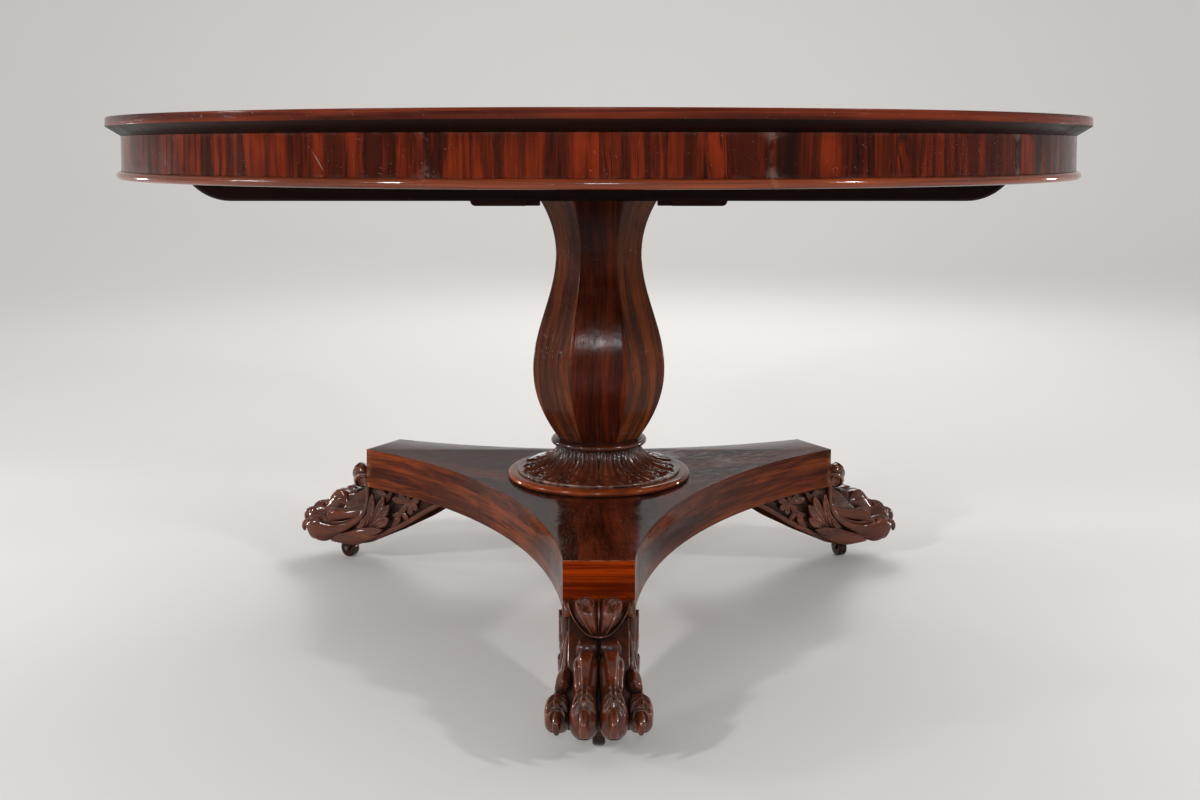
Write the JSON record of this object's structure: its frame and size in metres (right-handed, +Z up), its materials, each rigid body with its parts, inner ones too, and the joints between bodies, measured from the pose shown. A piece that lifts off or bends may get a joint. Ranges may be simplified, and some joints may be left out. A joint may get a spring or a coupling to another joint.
{
  "type": "tilt-top centre table",
  "caption": "Round tilt-top centre table: veneered top and frieze, octagonal baluster column, three-armed platform, carved paw feet, brass castors.",
  "frame": {"origin": "on the floor, under the middle of the column and of the whole table", "axes": "+Z up, one foot points to -Y, the top tilts about an axis along Y and its -X edge goes down"},
  "size_m": [1.3798, 1.38, 0.7335],
  "materials": {
    "rosewood": "french polished, gloss",
    "rosewood_crossgrain": "french polished, gloss",
    "rosewood_moulding": "french polished, gloss",
    "rosewood_platform": "french polished, gloss",
    "carved_mahogany": "french polished, gloss",
    "secondary_wood": "bare, stained",
    "old_brass": "darkened",
    "iron": "dull"
  },
  "bodies": {
    "base": {"head_block": "secondary_wood", "catch_keep": "old_brass", "keep_screws": "old_brass", "head_cleats": "secondary_wood", "cleat_screws": "iron", "column": "rosewood", "tenon_wedges": "secondary_wood", "column_ring": "rosewood_moulding", "carved_collar": "carved_mahogany", "collar_plinth": "rosewood_moulding", "platform": "rosewood_platform", "foot_front": "carved_mahogany", "foot_left": "carved_mahogany", "foot_right": "carved_mahogany", "foot_screws": "iron", "castor_plate_front": "old_brass", "castor_plate_left": "old_brass", "castor_plate_right": "old_brass", "castor_screws": "old_brass"},
    "top": {"top_panel": "rosewood", "frieze": "rosewood_crossgrain", "bead_moulding": "rosewood_moulding", "glue_blocks": "secondary_wood", "bearer_front": "rosewood", "bearer_rear": "rosewood", "bearer_screws": "iron", "pivot_pins": "iron", "catch_case": "old_brass", "catch_screws": "old_brass"},
    "catch_bolt": {"catch_bolt": "old_brass"},
    "swivel_front": {"castor_horn_front": "old_brass", "castor_axle_front": "iron"},
    "wheel_front": {"castor_wheel_front": "old_brass"},
    "swivel_left": {"castor_horn_left": "old_brass", "castor_axle_left": "iron"},
    "wheel_left": {"castor_wheel_left": "old_brass"},
    "swivel_right": {"castor_horn_right": "old_brass", "castor_axle_right": "iron"},
    "wheel_right": {"castor_wheel_right": "old_brass"}
  },
  "joints": [
    {"name": "top_tilt", "type": "hinge", "parent": "base", "child": "top", "pos_m": [-0.15, 0, 0.655], "axis": [0, -1, 0], "range_deg": [0, 62]},
    {"name": "catch_slide", "type": "slide", "parent": "top", "child": "catch_bolt", "axis": [-1, 0, 0], "range_m": [0, 0.014]},
    {"name": "castor_swivel_front", "type": "hinge", "parent": "base", "child": "swivel_front", "pos_m": [0, -0.478, 0.033], "axis": [0, 0, 1], "continuous": true},
    {"name": "castor_roll_front", "type": "hinge", "parent": "swivel_front", "child": "wheel_front", "pos_m": [0, -0.467, 0.015], "axis": [-1, 0, 0], "continuous": true},
    {"name": "castor_swivel_left", "type": "hinge", "parent": "base", "child": "swivel_left", "pos_m": [-0.41396, 0.239, 0.033], "axis": [0, 0, 1], "continuous": true},
    {"name": "castor_roll_left", "type": "hinge", "parent": "swivel_left", "child": "wheel_left", "pos_m": [-0.42349, 0.2445, 0.015], "axis": [-0.5, -0.866, 0], "continuous": true},
    {"name": "castor_swivel_right", "type": "hinge", "parent": "base", "child": "swivel_right", "pos_m": [0.41396, 0.239, 0.033], "axis": [0, 0, 1], "continuous": true},
    {"name": "castor_roll_right", "type": "hinge", "parent": "swivel_right", "child": "wheel_right", "pos_m": [0.4102, 0.24934, 0.015], "axis": [-0.9397, -0.342, 0], "continuous": true}
  ]
}
